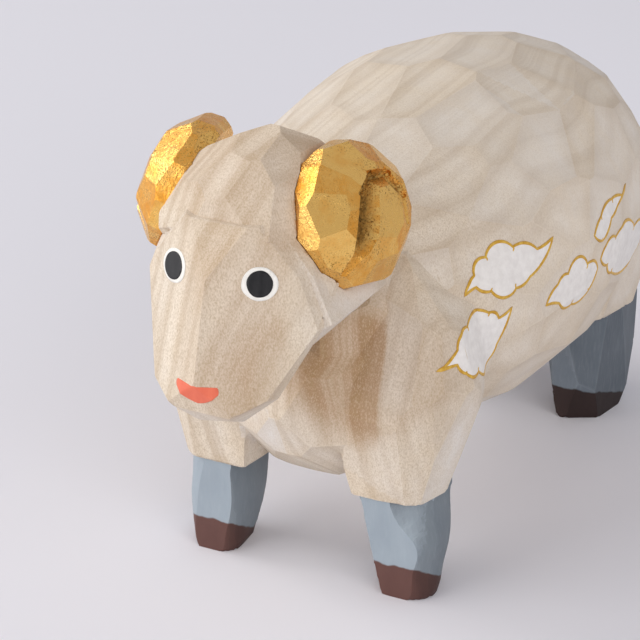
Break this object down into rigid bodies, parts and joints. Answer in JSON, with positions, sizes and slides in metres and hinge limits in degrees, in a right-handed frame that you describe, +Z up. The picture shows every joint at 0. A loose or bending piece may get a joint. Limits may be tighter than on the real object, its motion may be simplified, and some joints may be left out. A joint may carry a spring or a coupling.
{
  "type": "sheep figurine",
  "caption": "Carved wooden sheep ornament with flat knife facets, coiled gilded horns, painted eyes, nose, hooves and lower legs, and traditional gold-edged clouds on its flank.",
  "frame": {"origin": "on the floor under the middle of the bounding box", "axes": "+Z up; the sheep looks along -Y; its left side is +X"},
  "size_m": [0.065, 0.144, 0.0816],
  "materials": {
    "pale_wood": "bare wood with a thin whitish wash",
    "gold_leaf": "carved wood covered with gold leaf",
    "leg_paint": "carved wood with matte grey-blue paint and brown hooves",
    "dowel_wood": "bare beech"
  },
  "bodies": {
    "root": {"trunk": "pale_wood", "head": "pale_wood", "tail": "pale_wood", "leg_front_left": "leg_paint", "leg_front_right": "leg_paint", "leg_rear_left": "leg_paint", "leg_rear_right": "leg_paint", "horn_left": "gold_leaf", "horn_right": "gold_leaf", "neck_dowel": "dowel_wood", "horn_peg_left": "dowel_wood", "horn_peg_right": "dowel_wood"}
  },
  "joints": []
}
